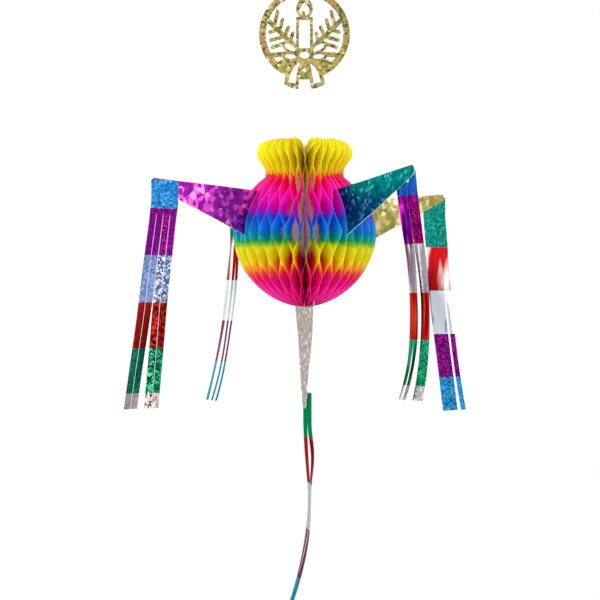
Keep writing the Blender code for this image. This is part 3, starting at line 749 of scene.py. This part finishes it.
@dataclass(frozen=True)
class CardPoint:
    """A foil card point, pushed in between two sheets of the ball, and its film fringe."""

    name: str
    foil: Slot
    slot: int  # counted in sheets round from the front seam
    pitch: float  # the card's rise from level, in radians
    rise: float  # where its axis crosses the ball's
    fringe: Fringe
    raised: float = 0.0  # how far its upper edge is raised
    widened: float = 1.0
    tip_radius: float = 0.186  # its tip from the ball's centre
    base_radius: float = 0.058
    root_half: float = 0.0229  # half its width at the ball's outline
    tip_half: float = 0.0035
    thickness: float = 0.0005
    bow: float = 0.9 * MM
    bow_from: float = 0.08
    bow_to: float = 0.152
    tab: float = 0.0015  # the part of a hanging card that the ball hides
    foot_fade: float = 0.03  # how far down a hanging card the ball's round foot shapes it

    @property
    def azimuth(self) -> float:
        """Azimuth of the slot that the card is pushed into."""
        return BALL.slot_azimuth(self.slot)

    @property
    def hangs_down(self) -> bool:
        """Whether this is the lowest point, straight below the ball."""
        return self.pitch < 0

    @property
    def entry_rise(self) -> float:
        """Rise at which the card's axis enters the ball."""
        return self.rise + 0.9 * BALL.radius * math.sin(self.pitch)

    @property
    def centre(self) -> np.ndarray:
        """Where the card's axis starts on the ball's axis."""
        return np.array((0, 0, self.rise - BALL.drop))

    def axes(self) -> tuple[np.ndarray, np.ndarray, np.ndarray]:
        """Work out the card's own axes.

        Returns:
            Directions along the card, down across it and out of its fringe face.
        """
        along = outward(self.azimuth) * math.cos(self.pitch) + UP * math.sin(self.pitch)
        face = sideways(self.azimuth)
        return along, np.cross(face, along), face

    def half_width(self, radius: Any) -> Any:
        """Half the card's width at a distance from the ball's centre."""
        taper = (self.root_half - self.tip_half) / (self.tip_radius - BALL.radius)
        return self.tip_half + taper * (self.tip_radius - radius)

    def film_top(self) -> np.ndarray:
        """Find where the film starts.

        Returns:
            Its upper inner corner, in the card's middle plane.
        """
        film = self.fringe
        if self.hangs_down:
            top = -outward(self.azimuth) * (film.width / 2 - film.shift)
            return top - UP * (BALL.drop + self.tip_radius - film.header)
        root = self.tip_radius - film.width
        along, down, _ = self.axes()
        edge = self.centre + root * along - self.half_width(root) * down
        top = self.centre + outward(self.azimuth) * (root * math.cos(self.pitch) + film.shift)
        top[2] = edge[2]
        return top

    def outline(self) -> tuple[np.ndarray, np.ndarray]:
        """Work out the half width w(u), which runs straight to the tip's arc, sqrt(w^2 - (u - c)^2).

        Returns:
            Distances along the card from the ball's centre, and half its width there.
        """
        base = BALL.half_height + self.rise - self.tab if self.hangs_down else self.base_radius
        arc_centre = self.tip_radius - self.tip_half
        arc_radius = self.half_width(arc_centre)
        straight = np.linspace(base, arc_centre, 32, endpoint=False)
        quarter = np.sin(np.linspace(0, np.pi / 2, 8))
        u = np.concatenate((straight, arc_centre + arc_radius * quarter))
        arc = np.sqrt(np.clip(arc_radius**2 - (u - arc_centre) ** 2, 1e-10, 1))
        return u, np.where(u < arc_centre, self.half_width(u), arc) * self.widened

    def build(self, foil: Material, edge: Material) -> Piece:
        """A long triangle with a round tip, foil on both faces and a white cut edge.

        It is bowed by b sin^2(pi s). The lowest point's upper edge follows the ball's round foot.

        Args:
            foil: finish of its faces.
            edge: finish of its cut edge.
        Returns:
            The card, riding on the ball.
        """
        u, half = self.outline()
        x = np.linspace(-1, 1, 7)[None, :]
        v = x * half[:, None] - self.raised * (1 - x) / 2
        free = np.clip((u - self.bow_from) / (self.bow_to - self.bow_from), 0, 1)
        bow = (self.bow * np.sin(np.pi * free) ** 2)[:, None] * np.ones_like(v)
        reach = u[:, None] * np.ones_like(v)
        if self.hangs_down:
            swell = 1 - (np.abs(v) / BALL.radius) ** BALL.roundness
            hollow = BALL.half_height * (1 - swell ** (1 / BALL.roundness))
            reach = reach - hollow * np.clip(1 - (u - u[0]) / self.foot_fade, 0, 1)[:, None]
        along, down, face = self.axes()
        layers = [
            self.centre + reach[..., None] * along + v[..., None] * down + (bow + level)[..., None] * face
            for level in (self.thickness / 2, -self.thickness / 2)
        ]
        index = np.arange(v.size).reshape(v.shape)
        front = grid_faces(*v.shape)
        ring = np.concatenate((index[0, :-1], index[:-1, -1], index[-1, :0:-1], index[:0:-1, 0]))
        after = np.roll(ring, -1)
        rim = np.stack((ring, after, after + v.size, ring + v.size), -1)
        faces = np.concatenate((front, front[:, ::-1] + v.size, rim))
        finish = np.concatenate((np.zeros(2 * len(front)), np.ones(len(rim))))
        made = mesh_piece(
            f"card_{self.name}", np.stack(layers), faces, [foil, edge], face_finish=finish, flat=True)
        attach(made, "ball")
        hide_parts(f"point_{self.name}")
        return made


BLUE_FIRST = (
    Band(0.0275, "#0a5694", "#58a8d8"), Band(0.0453, "#480458", "#b81c88"),
    Band(0.0462, "#40507c", "#ccd4d0"), Band(0.0440, "#540808", "#b02c20"),
    Band(0.0432, "#024034", "#44bc80"), Band(0.0300, "#746c74", "#f0dcc0"),
)
BLUE_FIRST_MIRROR = (
    Band(0.0225, "#0c50b0", "#4ca4ec", 1.0, "#4c9cec", "#0a2c70"),
    Band(0.0453, "#580a70", "#e4203c", 1.0, "#ec30d8", "#2c0a3c"),
    Band(0.0462, "#7c7882", "#d8d4d4", 0.2, "#fcf4f0", "#38303c"),
    Band(0.0440, "#881c18", "#b83428", 0.1, "#b84838", "#5c0c10"),
    Band(0.0432, "#087048", "#44b48c", 0.9, "#4cb894", "#04402c"),
    Band(0.0300, "#a0a0a0", "#e0e0e0", 1.0, "#f8f8f8", "#606060"),
)
GREEN_FIRST_MIRROR = (
    Band(0.0555, "#045c50", "#30b8a4"),
    Band(0.0485, "#a8141a", "#f06c60", 0.0, "#fff4f4", "#80080e"),
    Band(0.0480, "#dce2ec", "#ffffff", 0.0, "#ffffff", "#3c58a4"),
    Band(0.0485, "#5c0664", "#c830b4"), Band(0.0600, "#0c70b0", "#68c8ec"),
)
GREEN_FIRST = (
    Band(0.0470, "#04885c", "#2cb080"), Band(0.0485, "#a82c2c", "#e06c60"),
    Band(0.0475, "#ccd4d4", "#eef2ee"), Band(0.0485, "#80305c", "#b85498"),
    Band(0.0600, "#1690b4", "#64c0dc"),
)
SIDE_POINTS = (
    CardPoint(
        "teal", Slot.TEAL_FOIL, slot=6, pitch=math.radians(17.0), rise=-0.0008, raised=0.0022,
        fringe=Fringe(
            FilmCoat(BLUE_FIRST_MIRROR, (0.05, 0.05, 0.8, 0.8), 0.3, 1.0, 5.263 * MM),
            length=0.215, shift=0.0025, lean=0.008, drift=-0.028, droop=3.55, tilt=0.0256, bow=0.0013,
            groups=(0, 0, 1, 1), spreads=(-0.0026, -0.0026, 0.0008, 0.0008),
            curls=(-0.0027, -0.0027, 0.0007, 0.0007), rolls=(-8.0, -8.0, -2.0, -2.0), roll_by=0.8,
            twists=(-9.0, -9.0, 0.0, 0.0), swivels=(0.0, -3.9), shear=0.003)),
    CardPoint(
        "gold", Slot.GOLD_FOIL, slot=21, pitch=math.radians(15.9), rise=-0.0043,
        fringe=Fringe(
            FilmCoat(GREEN_FIRST_MIRROR, (0.8, 0.8, 0.8, 0.8), 0.8, 0.75),
            length=0.2385, shift=0.002, lean=0.0245, drift=-0.004, droop=5.0, bow=0.003,
            groups=(0, 0, 0, 1), spreads=(-0.0012, -0.0012, -0.0012, 0.0028),
            curls=(0.0, 0.0, 0.0, 0.002), rolls=(12.0, 12.0, 12.0, 4.0), roll_by=1.4)),
    CardPoint(
        "back", Slot.RED_FOIL, slot=37, pitch=math.radians(14.5), rise=0.004,
        fringe=Fringe(
            FilmCoat(GREEN_FIRST), length=0.237, shift=-0.0059, lean=0.0305, drift=0.018, droop=3.07,
            groups=(0, 1, 2, 2), spreads=(-0.001, 0.0006, 0.0, 0.0),
            rolls=(-51.0, -51.0, -18.0, -18.0), roll_by=0.15, swivels=(-3.8, 5.5))),
    CardPoint(
        "violet", Slot.VIOLET_FOIL, slot=54, pitch=math.radians(13.0), rise=0.0052,
        fringe=Fringe(
            FilmCoat(BLUE_FIRST, (0.45, 0.85, 0.2, 0.2), 0.8), length=0.221, shift=0.0, lean=0.028,
            drift=0.002, groups=(0, 0, 1, 1), spreads=(-0.003, -0.003, 0.003, 0.003),
            curls=(0.003, 0.003, 0.0, 0.0), rolls=(-8.0, -8.0, 0.0, 0.0), slit=0.2 * MM)),
)
TAIL = CardPoint(
    "tail", Slot.SILVER_FOIL, slot=4, pitch=-math.pi / 2, rise=0.005, widened=1.1,
    fringe=Fringe(
        FilmCoat(GREEN_FIRST), length=0.231, shift=0.006, lean=0.0, drift=-0.024, droop=4.0, bow=0.004,
        groups=(0, 0, 1, 1), loops=(0.0, 0.0, 0.0028, 0.0028), swivels=(-7.0, -18.0), pivot=-0.002))


# Honeycomb


@dataclass(frozen=True)
class HoneycombPad:
    """Half the honeycomb ball: sheets glued to each other in staggered rows.

    A sheet turns from one glued slot to the next between two rows: its azimuth is
    s_k + (s_k+1 - s_k) f(t), where s_k is its slot in row k and f runs from 0 to 1 with a
    short flat at each end. Above the highest row each leaf is free and opens. Next to a card
    point a sheet stays in the card's slot.
    """

    side: Side
    heights: int = 110
    depths: int = 14
    flat: float = 0.09  # glued share of a row's pitch, at each end
    glue_gap: float = 0.05 * MM  # half the gap between two glued sheets
    seam_gap: float = 0.8 * MM  # the same at the rear seam
    card_room: float = 0.3 * MM  # between a card and the sheets beside it
    card_hold: float = 0.0325  # rows this near to a card's entry keep their sheets in its slot
    card_reach: float = 0.046  # rows this near make room for the card
    tail_reach: float = -0.045  # rows below this make room for the lowest card
    leaf_spread: float = 1.4  # how far the foremost leaf leans round from the seam, in slots
    spread_over: float = 4.0  # leaves over which that fades
    cockle: float = 0.22 * MM  # waves of the cut edge
    crease: float = 0.12 * MM  # waves of a sheet
    ruffle: float = 1.3 * MM  # waves of a free leaf
    leaf_sag: float = 1.6 * MM
    leaf_bump: float = 0.7 * MM  # how far leaves stand up and down by turns
    leaf_scatter: float = 0.5 * MM
    rim_scatter: float = 0.005

    @property
    def first(self) -> int:
        """The pad's first sheet, counted round from the front."""
        return 0 if self.side is Side.RIGHT else BALL.half

    def rises(self) -> np.ndarray:
        """Spread the vertex rows over the height.

        Returns:
            Their rises, closer together at the rounded ends.
        """
        foot = -BALL.half_height + 0.2 * MM
        even = np.linspace(0, 1, self.heights)
        ends = (1 - np.cos(np.pi * even)) / 2
        return foot + (BALL.top_rise - foot) * (0.7 * even + 0.3 * ends)

    def slot_in(self, sheet: np.ndarray, row: np.ndarray) -> np.ndarray:
        """Find the slot that a sheet is glued in at a row.

        Args:
            sheet: the sheets' numbers.
            row: rows, counted down from the highest.
        Returns:
            The slots' numbers.
        """
        slot = sheet + (sheet + row) % 2
        for point in SIDE_POINTS:
            beside = (sheet == point.slot - 1) | (sheet == point.slot)
            near = np.abs(BALL.row_rise(row) - point.entry_rise) < self.card_hold
            slot = np.where(beside & near, point.slot, slot)
        return slot

    def slot_gap(self, slot: np.ndarray, rise: np.ndarray) -> np.ndarray:
        """Find how far a slot stands open at a rise, for a card or a seam.

        Args:
            slot: the slots' numbers.
            rise: rises of their rows.
        Returns:
            Half the gaps.
        """
        gap = np.full(np.broadcast(slot, rise).shape, self.glue_gap)
        for point in SIDE_POINTS:
            near = np.abs(rise - point.entry_rise) < self.card_reach
            gap = np.where((slot == point.slot) & near, point.thickness / 2 + self.card_room, gap)
        below = (slot % BALL.half == TAIL.slot) & (rise < self.tail_reach)
        gap = np.where(below, TAIL.thickness / 2 + self.card_room, gap)
        return np.where(slot == BALL.half, self.seam_gap, gap)

    def glued(self, sheet: np.ndarray, rise: np.ndarray) -> tuple[np.ndarray, np.ndarray]:
        """Where the sheets lie between their rows of glue.

        Args:
            sheet: the sheets' numbers.
            rise: rises of the vertex rows.
        Returns:
            Their places round the ball, in slots, and their steps aside for the gaps.
        """
        place = BALL.first_row - rise / BALL.row_pitch
        row = np.floor(place)
        step = np.clip((place - row - self.flat) / (1 - 2 * self.flat), 0, 1)
        step = 0.55 * step + 0.45 * smooth(step)
        turn, shift = 0.0, 0.0
        for which, weight in ((row, 1 - step), (row + 1, step)):
            slot = self.slot_in(sheet, which)
            sense = np.where(slot == sheet, 1, -1)
            turn = turn + weight * slot
            shift = shift + weight * sense * self.slot_gap(slot, BALL.row_rise(which))
        return turn, shift

    def build(self, tissue: Material) -> Piece:
        """Make the pad as one mesh of sheets, each a grid of rises and depths.

        Args:
            tissue: the dyed tissue.
        Returns:
            The pad, riding on the ball.
        """
        dice = np.random.default_rng(7 + self.first)
        number = np.arange(BALL.half)[:, None]
        sheet = self.first + number
        rise = self.rises()[None, :]
        turn, shift = self.glued(sheet, rise)

        # Above the highest row the leaves fan out, most of all beside the front seam.
        top_slot = self.slot_in(sheet, np.zeros_like(rise))
        free = np.clip((rise - BALL.first_rise) / (BALL.top_rise - BALL.first_rise), 0, 1)
        from_front = number if self.side is Side.RIGHT else BALL.half - 1 - number
        from_back = BALL.half - 1 - from_front
        round_way = 1 if self.side is Side.RIGHT else -1
        spread = self.leaf_spread * np.exp(-from_front / self.spread_over) * round_way
        leaf = top_slot + (sheet + 0.5 + spread - top_slot) * smooth(free * 1.1)
        above = rise > BALL.first_rise
        turn = np.where(above, leaf, turn)
        shift = np.where(above, np.where(top_slot == sheet, 1, -1) * self.glue_gap, shift)
        azimuth = BALL.slot_azimuth(turn)[:, :, None]

        # Small waves: cockles along the cut edge, creases in a sheet, ruffles in a free leaf.
        # Their wave numbers are in radians per metre.
        up = rise[:, :, None]
        share = np.linspace(0, 1, self.depths)[None, None, :] ** 0.75
        phase = dice.uniform(0, 2 * np.pi, (4, *sheet.shape))[:, :, :, None]
        cockle = np.sin(up * 1700 + phase[3]) * self.cockle * share**12
        start = BALL.inner_radius(rise)[:, :, None]
        uneven = 1 + self.rim_scatter * dice.standard_normal(sheet.shape)[:, :, None]
        rim = np.maximum(BALL.outer_radius(rise)[:, :, None] * uneven, start + MM)
        radius = start + (rim - start) * share + cockle
        opened = np.where(above, free, 0)[:, :, None]
        loose = share**2 * opened
        wave = np.sin(up * 260 + phase[0]) + 0.6 * np.sin(radius * 420 + phase[1])
        ruffle = (self.ruffle * np.sin(up * 190 + phase[2]) + 0.6 * MM * wave) * loose
        held = np.abs(shift)[:, :, None] > self.glue_gap + 0.01 * MM
        crease = np.where(held, 0, (self.crease * wave + 0.8 * cockle) * share * (radius > 0.02))
        side_step = shift[:, :, None] * np.minimum(1, radius / 0.009) + ruffle + crease

        points = outward(azimuth) * radius[..., None] + sideways(azimuth) * side_step[..., None]
        bump = self.leaf_bump * (-1.0) ** number + dice.normal(0, self.leaf_scatter, sheet.shape)
        sag = self.leaf_sag * (1 - np.exp(-from_back / 2.0))[:, :, None]
        points[..., 2] = up + bump[:, :, None] * loose - sag * opened**2 - BALL.drop
        grids = [grid_faces(self.heights, self.depths, k * radius[0].size) for k in range(BALL.half)]
        band, soak = BALL.dye_place(np.broadcast_to(up, radius.shape), radius)
        dyed = {"band": band, "soak": soak, "depth": rim - radius}
        name = self.side.value
        made = mesh_piece(f"tissue_pad_{name}", points, np.concatenate(grids), [tissue], dyed)
        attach(made, "ball")
        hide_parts(f"honeycomb_{name}")
        return made


# Thread


@dataclass
class HangingThread:
    """The doubled nylon thread, its knot and the bound spine that it is tied to."""

    nylon: Material
    card: Material
    diameter: float = 0.0004
    pivot: float = -0.0870  # height at which the loop hangs in the medallion's hole
    stand_off: float = 0.001  # each leg's distance from the middle plane
    knot_radius: float = 0.0017
    knot_height: float = -0.1755
    knot_cord: float = 0.3 * MM
    spine_radius: float = 0.45 * MM
    spine_foot: float = -0.0705
    spine_top: float = 0.0815
    stitch: float = 0.004

    def curve_piece(self, name: str, route: np.ndarray, radius: float) -> Piece:
        """Make a round nylon curve of one open spline.

        Args:
            name: object name.
            route: (n, 3) places along it.
            radius: the nylon's radius.
        Returns:
            The linked object.
        """
        curve = bpy.data.curves.new(name, "CURVE")
        curve.dimensions = "3D"
        curve.bevel_depth = radius
        curve.bevel_resolution = 3
        curve.use_fill_caps = True
        spline = curve.splines.new("POLY")
        spline.points.add(len(route) - 1)
        spline.points.foreach_set("co", np.column_stack((route, np.ones(len(route)))).ravel())
        spline.use_smooth = True
        curve.materials.append(self.nylon)
        made = bpy.data.objects.new(name, curve)
        bpy.context.scene.collection.objects.link(made)
        return made

    def build(self) -> list[Piece]:
        """Thread through the medallion's hole, knot on the spine, and the spine itself."""
        return [self.build_thread(), self.build_knot(), self.build_spine()]

    def build_thread(self) -> Piece:
        """Both legs of the loop, from the knot up through the hole and back.

        Each leg eases out from the knot to its stand-off, y = y0 + (d - y0) (3 t^2 - 2 t^3), and the
        legs meet in a half circle over the hole's lower edge.

        Returns:
            The thread, riding on its own body.
        """
        foot = self.knot_height + self.knot_radius + 0.3 * MM
        shoulder = self.pivot - self.stand_off
        t = np.linspace(0, 1, 40, endpoint=False)
        near = self.knot_radius / 3
        side = -near - (self.stand_off - near) * smooth(t)
        leg = np.column_stack((np.zeros_like(t), side, foot + (shoulder - foot) * t))
        turn = np.linspace(0, np.pi, 17)
        arch = self.stand_off * np.column_stack((np.zeros_like(turn), -np.cos(turn), np.sin(turn)))
        route = np.concatenate((leg, arch + UP * shoulder, leg[::-1] * (1, -1, 1)))
        thread = self.curve_piece("nylon_thread", route, self.diameter / 2)
        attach(thread, "thread")
        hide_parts("hang_thread")
        return thread

    def build_knot(self) -> Piece:
        """An overhand knot: the trefoil (sin a + 2 sin 2a, cos a - 2 cos 2a, -1.1 sin 3a), scaled.

        Returns:
            The knot, riding on its own body.
        """
        a = np.linspace(0, 2 * np.pi, 90)
        loop = np.column_stack((
            np.sin(a) + 2 * np.sin(2 * a), np.cos(a) - 2 * np.cos(2 * a), -1.1 * np.sin(3 * a))) / 3
        size = self.knot_radius - self.diameter
        knot = self.curve_piece("nylon_knot", loop * size + UP * self.knot_height, self.knot_cord)
        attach(knot, "knot")
        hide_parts("thread_knot")
        return knot

    def build_spine(self) -> Piece:
        """The sheets' bound edges: a slim stitched core, r = r0 (1 + a sin(k z)), closed at both ends.

        Returns:
            The spine, riding on the ball.
        """
        z = np.linspace(self.spine_foot, self.spine_top, 60)
        radius = self.spine_radius * (1 + 0.1 * np.sin(z / self.stitch * 2 * np.pi))
        radius[[0, -1]] = 0.01 * MM
        turn = np.linspace(0, 2 * np.pi, 13)[None, :]
        points = outward(turn) * radius[:, None, None] + (z - BALL.drop)[:, None, None] * UP
        made = mesh_piece("spine_stitched", points, grid_faces(z.size, turn.size)[:, ::-1], [self.card])
        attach(made, "ball")
        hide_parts("spine_binding")
        return made


# Studio


@dataclass(frozen=True)
class Lamp:
    """A square area light that faces the ball."""

    name: str
    place: tuple[float, float, float]
    size: float
    power: float

    def build(self) -> None:
        """Hang the lamp and turn it to the ball's centre."""
        data = bpy.data.lights.new(self.name, "AREA")
        data.size = self.size
        data.energy = self.power
        made = bpy.data.objects.new(self.name, data)
        made.location = self.place
        aim = -UP * BALL.drop - np.array(self.place)
        heading = math.atan2(aim[1], aim[0])
        tip = math.atan2(math.hypot(aim[0], aim[1]), -aim[2])
        made.rotation_euler = (tip, 0, heading - math.pi / 2)
        bpy.context.scene.collection.objects.link(made)


@dataclass(frozen=True)
class Studio:
    """Camera, even light and a white background."""

    pixel: float = 1.05 * MM  # width of a photograph's pixel at the ball's axis
    pixels: int = 600
    distance_pixels: float = 1264
    axis_pixel: float = 304.5
    top_pixel: float = -11.4
    sensor: float = 36.0
    floor_height: float = -1.2
    floor_half: float = 2.0
    bounces: int = 32
    lamps: tuple[Lamp, ...] = (
        Lamp("key", (-1.2, -1.6, 1.0), 2.0, 22.0),
        Lamp("fill", (1.6, -1.3, 0.0), 1.6, 9.0),
        Lamp("front", (0.0, -1.9, -0.2), 0.8, 6.0),
    )
    walls: tuple[tuple[float, str], ...] = (  # round from the back, by the left, front and right
        (0.0, "#e0e0e0"), (0.12, "#f4f4f4"), (0.2, "#ffffff"), (0.26, "#a0a0a0"), (0.33, "#ffffff"),
        (0.42, "#f0f0f0"), (0.5, "#b0b0b0"), (0.58, "#d0d0d0"), (0.62, "#808080"), (0.64, "#ffffff"),
        (0.67, "#ffffff"), (0.685, "#b4b4b4"), (0.73, "#a8a8a8"), (0.8, "#d8d8d8"), (1.0, "#e0e0e0"),
    )

    def build(self) -> None:
        """Set the camera where the photograph was taken, and light the object softly all round."""
        scene = bpy.context.scene
        scene.view_settings.view_transform = "Standard"
        distance = self.distance_pixels * self.pixel
        middle = self.pixels / 2
        data = bpy.data.cameras.new("camera")
        data.sensor_width = self.sensor
        data.lens = self.sensor * self.distance_pixels / self.pixels
        camera = bpy.data.objects.new("camera", data)
        camera.location = (
            (middle - self.axis_pixel) * self.pixel, -distance, -(middle - self.top_pixel) * self.pixel)
        camera.rotation_euler = (math.pi / 2, 0, 0)
        scene.collection.objects.link(camera)
        scene.camera = camera
        # Light crosses many layers of tissue before it leaves the ball.
        scene.cycles.max_bounces = self.bounces
        scene.cycles.diffuse_bounces = self.bounces
        for lamp in self.lamps:
            lamp.build()
        self.floor()
        self.surround()

    def floor(self) -> None:
        """A plain pale floor, below the picture's lower edge."""
        side = np.array((-self.floor_half, self.floor_half))
        points = np.stack((*np.meshgrid(side, side), np.full((2, 2), self.floor_height)), -1)
        pale = PlainStock("floor_pale", "#f4f4f4", 0.9).build()
        mesh_piece("floor", points, grid_faces(2, 2)[:, ::-1], [pale])

    def surround(self) -> None:
        """White to the camera; to the foils, a room of bright walls with darker gaps between them."""
        world = bpy.data.worlds.new("studio")
        world.use_nodes = True
        bpy.context.scene.world = world
        room = Graph(world.node_tree)
        way = room.add("TexCoord", take="Generated")
        east, north, up = (room.add("SeparateXYZ", {0: way}, axis) for axis in "XYZ")
        front = room.add("Math", {0: north, 1: -1.0}, operation="MULTIPLY")
        turn = room.add("Math", {0: east, 1: front}, operation="ARCTAN2")
        share = room.add("MapRange", {"Value": turn, "From Min": -math.pi, "From Max": math.pi})
        walls = room.add("ValToRGB", {"Fac": share}, stops=self.walls)
        level = room.add(
            "MapRange", {"Value": up, "From Min": -1.0, "From Max": 1.0, "To Min": 1.1, "To Max": 1.55})
        patches = room.add("TexNoise", {"Vector": way, "Scale": 3.2, "Detail": 1.0}, "Fac")
        uneven = room.add("MapRange", {
            "Value": patches, "From Min": 0.35, "From Max": 0.65, "To Min": 0.55, "To Max": 1.45})
        strength = room.add("Math", {0: level, 1: uneven}, operation="MULTIPLY")
        lit = room.add("Background", {"Color": walls, "Strength": strength})
        white = room.add("Background", {"Color": (1, 1, 1, 1), "Strength": 1.0})
        seen = room.add("LightPath", take="Is Camera Ray")
        room.add("OutputWorld", {"Surface": room.add("MixShader", {0: seen, 1: lit, 2: white})})


def paint(node: str, finish: Material) -> None:
    """Give a CAD node that stays shown its finish.

    Args:
        node: the node's name.
        finish: its material.
    """
    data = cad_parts[node].data
    data.materials.clear()
    data.materials.append(finish)


def main() -> None:
    """Build and report every piece and the studio."""
    logging.basicConfig(level=logging.INFO)
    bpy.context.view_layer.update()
    tissue = DyedTissue().build()
    card = PlainStock("card_white_cut", "#f2efe8", 0.8).build()
    tape = PlainStock("tape_clear", "#dcdcd6", 0.4).build()
    nylon = PlainStock("nylon_clear_drawn", "#e8ecf0", 0.2, clear=0.75).build()
    pieces = [HoneycombPad(side).build(tissue) for side in Side]
    for point in (*SIDE_POINTS, TAIL):
        pieces.append(point.build(FOILS[point.name].build(), card))
        film = BandedFilm(f"film_{point.name}_metallised", point.fringe.length, point.fringe.coat)
        pieces.append(point.fringe.build(point, film.build()))
        paint(f"glue_pad_{point.name}", tape)
    pieces += HangingThread(nylon, card).build()
    paint("medallion", FOILS["medallion"].build())
    paint("cover_card_left", card)
    paint("cover_card_right", card)
    paint("closure_tape", tape)
    Studio().build()
    for piece in pieces:
        LOG.info("built %s", piece.name)


if __name__ == "__main__":
    main()
